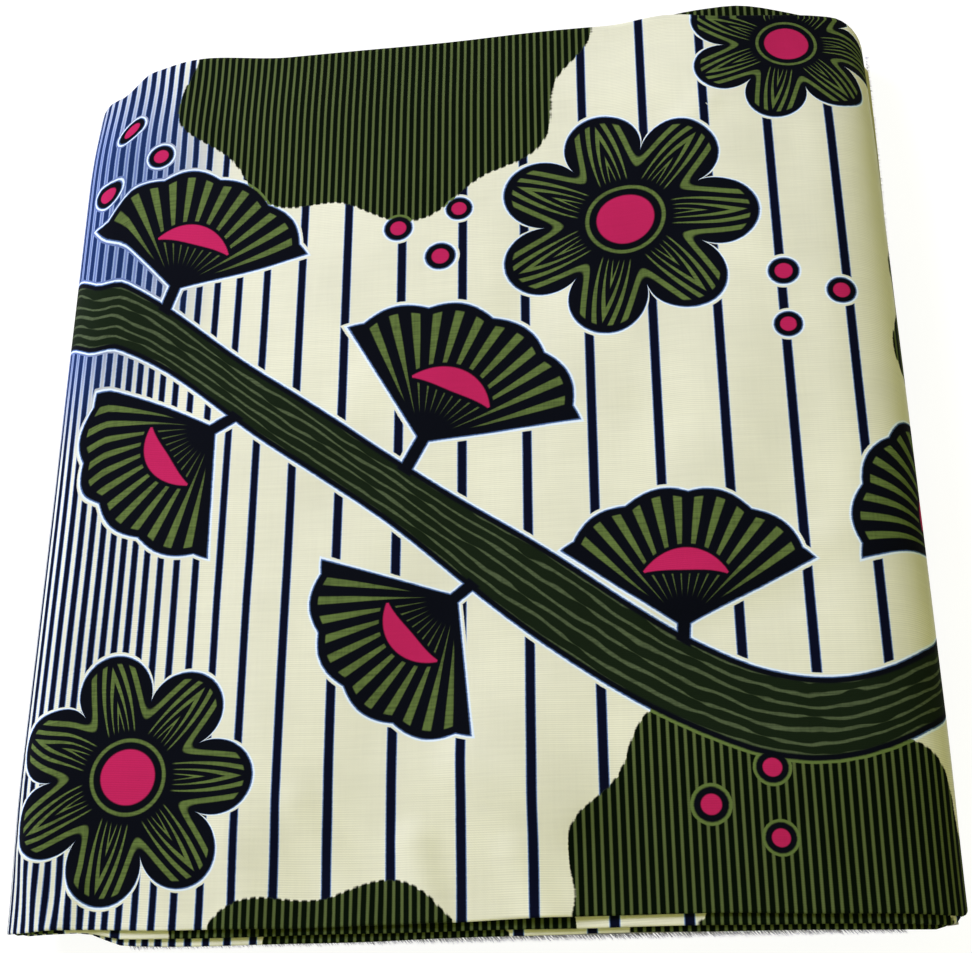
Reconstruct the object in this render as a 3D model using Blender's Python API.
"""A 6 yard length of wax print cotton, folded into a flat packet that lies on its underside.

The cloth is quartered across its width, so one leaf is four plies. Four leaves make a bundle, and the
bundle is turned over and over into five. The outermost leaf comes out of the packet at the right, goes
round that side, over the top, round the left side and along the underside to its cut end.

Metres, +Z up, +X to the packet's right, -Y to its front. The tables below measure x and y from one
point, and MIDDLE is where the packet's middle lies from it, which becomes the origin.
"""

import math

import bmesh
import bpy

# The cloth
PLY = 0.000375  # one thickness of the cotton as it lies in the packet, with the air between plies
LEAF = 4 * PLY
BUNDLE = 4 * LEAF
THICKNESS = 5 * BUNDLE
GAP = 0.0003  # between one leaf and the next
WALL = LEAF - GAP

# The packet, seen from above
MIDDLE = (-0.0010, 0.0015)
LEFT = -0.138
RIGHT = 0.132
LEFT_TURN = 0.016  # how far the rounded left side reaches in from LEFT
RIGHT_TURN = 0.024  # the same at the right, where the cloth falls away more slowly
LEFT_CENTRE = LEFT + LEFT_TURN
RIGHT_CENTRE = RIGHT - RIGHT_TURN
RIGHT_TURN_HEIGHT = 4 * BUNDLE
RIGHT_TURN_LOW = THICKNESS - RIGHT_TURN_HEIGHT  # the right turn stands on the last bundle
TUCK = 0.030  # how far a leaf runs back into the packet below its right turn
FRONT_WAVES = (  # where the front edge curves back, and by how much
    dict(x=-0.113, reach=0.030, back=0.0009),
    dict(x=0.045, reach=0.092, back=0.0010),
)
HUMPS = (  # where the far edge bulges
    dict(x=-0.0975, reach=0.033, size=0.0034),
    dict(x=0.066, reach=0.020, size=0.0022),
)
NOTCH = dict(x=-0.1215, half=0.0055, size=0.0075)  # the left side's far end lies this much further in
FAR_PEEK = dict(x=0.090, reach=0.032)  # where an inner leaf stands out past the far edge
FRONT_HELD = 0.6  # up to this share of the height, a leaf's front edge comes forward as it rises

# One row for each leaf that shows, from the outside inwards: where its edges are above and below, how
# far it stands out at the far right, and how far its cut end passes RIGHT at the front and at the back
LEAVES = [
    dict(name="outer_leaf", front_top=-0.1475, front_low=-0.1440, back_top=0.1490, back_low=0.1500,
         peek=0.0, end_front=0.0005, end_back=0.0040, colour=(0.72, 0.71, 0.55)),
    dict(name="second_leaf", front_top=-0.1496, front_low=-0.1447, back_top=0.1486, back_low=0.1495,
         peek=0.0058, end_front=-0.0020, end_back=0.0010, colour=(0.05, 0.07, 0.02)),
    dict(name="third_leaf", front_top=-0.1506, front_low=-0.1452, back_top=0.1492, back_low=0.1490,
         peek=0.0020, end_front=-0.0010, end_back=-0.0030, colour=(0.60, 0.60, 0.50)),
]

# The packet's corners: how far the top falls there, within reach, and how round they are from above
CORNERS = [
    dict(name="near left", side=-1, end=-1, reach=0.050, fall=0.03, round=0.004),
    dict(name="near right", side=1, end=-1, reach=0.060, fall=0.12, round=0.006),
    dict(name="far left", side=-1, end=1, reach=0.045, fall=0.16, round=0.006),
    dict(name="far right", side=1, end=1, reach=0.060, fall=0.20, round=0.010),
]
FRONT_FALL = dict(reach=0.045, fall=0.10)  # the open front edge lies a little lower than the rest
BACK_FALL = dict(reach=0.032, fall=0.06)

# The hidden leaves: the edge of each pair stands forward of a plain front by this much, bottom to top
HIDDEN_FRONT = -0.1462
HIDDEN_BACK = 0.1464
PAIR = 2 * LEAF
PAIR_STEPS = (0.0006, 0.0016, 0.0008, 0.0020, 0.0010, 0.0024, 0.0016)
PAIR_GROOVE = 0.0014
PAIR_RINGS = (0.0, 0.25, 0.75)  # a pair's groove, and where its ridge begins and ends, as shares of PAIR
FOURTH_END = 0.0035  # the fourth leaf's cut end stops this far short of RIGHT
SHELF = 0.00015  # the rise of a level step in the hidden leaves
HIDDEN_LOW = len(LEAVES) * LEAF
HIDDEN_HIGH = THICKNESS - HIDDEN_LOW
HIDDEN_COLOUR = (0.66, 0.66, 0.56)

SELVEDGE = dict(width=0.0030, colour=(0.62, 0.62, 0.72))
CLOTH_ROUGHNESS = 0.75

# How finely the solids are divided, along the fold and across it
TURN_STEPS = 10
TOP_STEPS = 14
UNDER_STEPS = 8
TUCK_STEPS = 2
ACROSS_STEPS = 14
SHARP_ANGLE = math.radians(40)


def clear_scene():
    for thing in list(bpy.data.objects):
        bpy.data.objects.remove(thing)


def material(name, colour):
    made = bpy.data.materials.new(name)
    made.use_nodes = True
    shader = made.node_tree.nodes["Principled BSDF"]
    shader.inputs["Base Color"].default_value = (*colour, 1.0)
    shader.inputs["Roughness"].default_value = CLOTH_ROUGHNESS
    shader.inputs["Metallic"].default_value = 0.0
    return made


def smooth(share):
    """0 to 1 in, 0 to 1 out, with level ends."""
    share = min(max(share, 0.0), 1.0)
    return share * share * (3.0 - 2.0 * share)


def near(distance, reach):
    """1 at no distance, falling to 0 at reach."""
    return smooth(1.0 - distance / reach)


def eased(count):
    """Steps from 0 to 1 that are closer together at both ends."""
    return [0.5 - 0.5 * math.cos(math.pi * i / count) for i in range(count + 1)]


def mix(a, b, share):
    return a + (b - a) * share


def height_share(x, y):
    """How much of its full thickness the packet has above a place."""
    front, back = LEAVES[0]["front_top"], LEAVES[0]["back_top"]
    share = 1.0
    share -= FRONT_FALL["fall"] * near(max(y - front, 0.0), FRONT_FALL["reach"])
    share -= BACK_FALL["fall"] * near(max(back - y, 0.0), BACK_FALL["reach"])
    for corner in CORNERS:
        from_side = max(x - LEFT if corner["side"] < 0 else RIGHT - x, 0.0)
        from_end = max(y - front if corner["end"] < 0 else back - y, 0.0)
        share -= corner["fall"] * near(math.hypot(from_side, from_end), corner["reach"])
    return share


def rounded_off(x, inset, end):
    """How far an edge draws in near the packet's sides, which rounds the corners seen from above."""
    drawn_in = 0.0
    for corner in CORNERS:
        if corner["end"] != end:
            continue
        side = LEFT + inset if corner["side"] < 0 else RIGHT - inset
        reach = corner["round"]
        short = reach - max((side - x) * corner["side"], 0.0)
        if short > 0.0:
            drawn_in += reach - math.sqrt(reach * reach - short * short)
    if end > 0:
        drawn_in += NOTCH["size"] * smooth((NOTCH["x"] + NOTCH["half"] - x) / (2 * NOTCH["half"]))
    return drawn_in


def front_edge(leaf, x, inset, height):
    """A leaf's front edge at x. height is 0 on the underside and 1 on top."""
    waves = sum(wave["back"] * near(abs(x - wave["x"]), wave["reach"]) for wave in FRONT_WAVES)
    front = mix(leaf["front_low"], leaf["front_top"], smooth(height / FRONT_HELD))
    return front + waves * height + rounded_off(x, inset, -1)


def back_edge(leaf, x, inset, height):
    """The same for its far edge, with the humps and the part that stands out at the right."""
    humps = sum(hump["size"] * near(abs(x - hump["x"]), hump["reach"]) for hump in HUMPS)
    peek = leaf["peek"] * near(abs(x - FAR_PEEK["x"]), FAR_PEEK["reach"])
    edge = mix(leaf["back_low"], leaf["back_top"], height)
    return edge + (humps + peek) * height - rounded_off(x, inset, 1)


def across_at(station, x, inset, front, back):
    """Where a station lies between the edges. All leaves share their stations but for the two edges."""
    if station == 0:
        return front
    if station == ACROSS_STEPS:
        return back
    near_end = HIDDEN_FRONT + rounded_off(x, inset, -1)
    far_end = HIDDEN_BACK - rounded_off(x, inset, 1)
    return mix(near_end, far_end, STATIONS[station])


def fold_path(inset):
    """The line of the fold seen from the front, inset into the packet, as (x, z) from the cut end on."""
    angles = [math.pi * i / TURN_STEPS for i in range(1, TURN_STEPS + 1)]
    half = THICKNESS / 2
    path = [(mix(RIGHT, LEFT_CENTRE, s), inset) for s in eased(UNDER_STEPS)]
    for angle in angles:
        x = LEFT_CENTRE - (LEFT_TURN - inset) * math.sin(angle)
        path.append((x, half - (half - inset) * math.cos(angle)))
    path += [(mix(LEFT_CENTRE, RIGHT_CENTRE, s), THICKNESS - inset) for s in eased(TOP_STEPS)[1:]]
    half = RIGHT_TURN_HEIGHT / 2
    for angle in angles:
        x = RIGHT_CENTRE + (RIGHT_TURN - inset) * math.sin(angle)
        path.append((x, THICKNESS - half + (half - inset) * math.cos(angle)))
    low = RIGHT_TURN_LOW + inset
    path += [(RIGHT_CENTRE - TUCK * i / TUCK_STEPS, low) for i in range(1, TUCK_STEPS + 1)]
    return path


def slab(along, across, levels):
    """A flat closed slab whose vertices stand at whole steps along and across, and at the levels up it."""
    made = bmesh.new()
    bmesh.ops.create_grid(made, x_segments=along, y_segments=across, size=0.5)
    for vertex in made.verts:
        vertex.co.x = round((vertex.co.x + 0.5) * along)
        vertex.co.y = round((vertex.co.y + 0.5) * across)
    top = made.faces[:]
    for level in range(1, levels + 1):
        raised = bmesh.ops.extrude_face_region(made, geom=top)["geom"]
        for vertex in (v for v in raised if isinstance(v, bmesh.types.BMVert)):
            vertex.co.z = level
        left_inside = [f for f in top if f.is_valid and level > 1]
        bmesh.ops.delete(made, geom=left_inside, context="FACES")
        top = [f for f in raised if isinstance(f, bmesh.types.BMFace)]
    return made


def placed(x, y, z):
    """A point of the tables' own measure, seen from the packet's middle."""
    return (x - MIDDLE[0], y - MIDDLE[1], z)


def finish(made, name, colour):
    """Turns the faces outwards, makes the object and gives it its material."""
    bmesh.ops.recalc_face_normals(made, faces=made.faces[:])
    if made.calc_volume(signed=True) < 0.0:
        bmesh.ops.reverse_faces(made, faces=made.faces[:])
    mesh = bpy.data.meshes.new(name)
    made.to_mesh(mesh)
    made.free()
    mesh.shade_smooth()
    mesh.set_sharp_from_angle(angle=SHARP_ANGLE)
    mesh.materials.append(material(name, colour))
    thing = bpy.data.objects.new(name, mesh)
    bpy.context.collection.objects.link(thing)
    return thing


def end_shift(leaf, along, station):
    """How far the cut end on the underside is drawn past RIGHT, which fades out along the underside."""
    end = mix(leaf["end_front"], leaf["end_back"], smooth(STATIONS[station]))
    return end * smooth(1.0 - along / UNDER_STEPS)


def make_leaf(order, leaf):
    """One folded leaf: a flat slab carried, vertex by vertex, to its place on the fold."""
    outside = fold_path(order * LEAF)
    inside = fold_path(order * LEAF + WALL)
    made = slab(len(outside) - 1, ACROSS_STEPS, 1)
    for vertex in made.verts:
        along, across, depth = (round(c) for c in vertex.co)
        x = mix(outside[along][0], inside[along][0], depth)
        z = mix(outside[along][1], inside[along][1], depth)
        outer_x, outer_z = outside[along]
        inset = order * LEAF
        front = front_edge(leaf, outer_x, inset, outer_z / THICKNESS)
        back = back_edge(leaf, outer_x, inset, outer_z / THICKNESS)
        y = across_at(across, outer_x, inset, front, back)
        x += end_shift(leaf, along, across)
        vertex.co = placed(x, y, z * height_share(x, y))
    return finish(made, leaf["name"], leaf["colour"])


def hidden_levels():
    """The rings up the side of the hidden leaves: each one's height, and how far it stands back."""
    rings = []
    for order, step in enumerate(PAIR_STEPS):
        for share in PAIR_RINGS:
            draw_in = (PAIR_GROOVE if share == 0.0 else 0.0) - step
            rings.append((HIDDEN_LOW + (order + share) * PAIR, draw_in))
    rings.append((HIDDEN_HIGH, PAIR_GROOVE - PAIR_STEPS[-1]))
    fourth_top = HIDDEN_LOW + WALL
    turn = RIGHT_TURN_LOW + HIDDEN_LOW + SHELF
    rings += [(fourth_top, -PAIR_STEPS[0]), (fourth_top + SHELF, -PAIR_STEPS[0])]
    rings.append((turn, PAIR_GROOVE - PAIR_STEPS[int(turn / PAIR - HIDDEN_LOW / PAIR)]))
    return sorted(rings)


def hidden_sides(z):
    """The left and right limits of the hidden leaves at a height."""
    half = THICKNESS / 2
    from_middle = min(abs(z - half) / (half - HIDDEN_LOW), 1.0)
    left = LEFT_CENTRE - (LEFT_TURN - HIDDEN_LOW) * math.sqrt(1.0 - from_middle ** 2)
    if z < HIDDEN_LOW + WALL + SHELF / 2:
        return left, RIGHT - FOURTH_END
    if z < RIGHT_TURN_LOW + HIDDEN_LOW + SHELF / 2:
        return left, RIGHT_CENTRE - TUCK - 2 * GAP
    half = RIGHT_TURN_HEIGHT / 2
    from_middle = min(abs(z - (THICKNESS - half)) / (half - HIDDEN_LOW), 1.0)
    return left, RIGHT_CENTRE + (RIGHT_TURN - HIDDEN_LOW) * math.sqrt(1.0 - from_middle ** 2)


def make_hidden_layers():
    """The leaves inside, as one solid with a ridge round it for each pair of leaves."""
    rings = hidden_levels()
    made = slab(TOP_STEPS, ACROSS_STEPS, len(rings) - 1)
    columns = eased(TOP_STEPS)
    for vertex in made.verts:
        column, station, level = (round(c) for c in vertex.co)
        z, draw_in = rings[level]
        left, right = hidden_sides(z)
        x = mix(left, right, columns[column])
        front = HIDDEN_FRONT + draw_in + rounded_off(x, HIDDEN_LOW, -1)
        humps = sum(hump["size"] * near(abs(x - hump["x"]), hump["reach"]) for hump in HUMPS)
        back = HIDDEN_BACK - draw_in + humps * z / THICKNESS - rounded_off(x, HIDDEN_LOW, 1)
        y = across_at(station, x, HIDDEN_LOW, front, back)
        vertex.co = placed(x, y, z * height_share(x, y))
    return finish(made, "hidden_layers", HIDDEN_COLOUR)


def make_selvedge():
    """The frayed selvedge, a flat strip laid along the front of the outermost leaf's underside."""
    leaf = LEAVES[0]
    under = fold_path(0.0)
    made = slab(UNDER_STEPS, 1, 1)
    for vertex in made.verts:
        along, across, height = (round(c) for c in vertex.co)
        x = under[along][0]
        y = front_edge(leaf, x, 0.0, 0.0) - GAP - SELVEDGE["width"] * (1 - across)
        vertex.co = placed(x + end_shift(leaf, along, 0), y, WALL * height)
    return finish(made, "selvedge", SELVEDGE["colour"])


STATIONS = eased(ACROSS_STEPS)

clear_scene()
for order, leaf in enumerate(LEAVES):
    make_leaf(order, leaf)
make_hidden_layers()
make_selvedge()
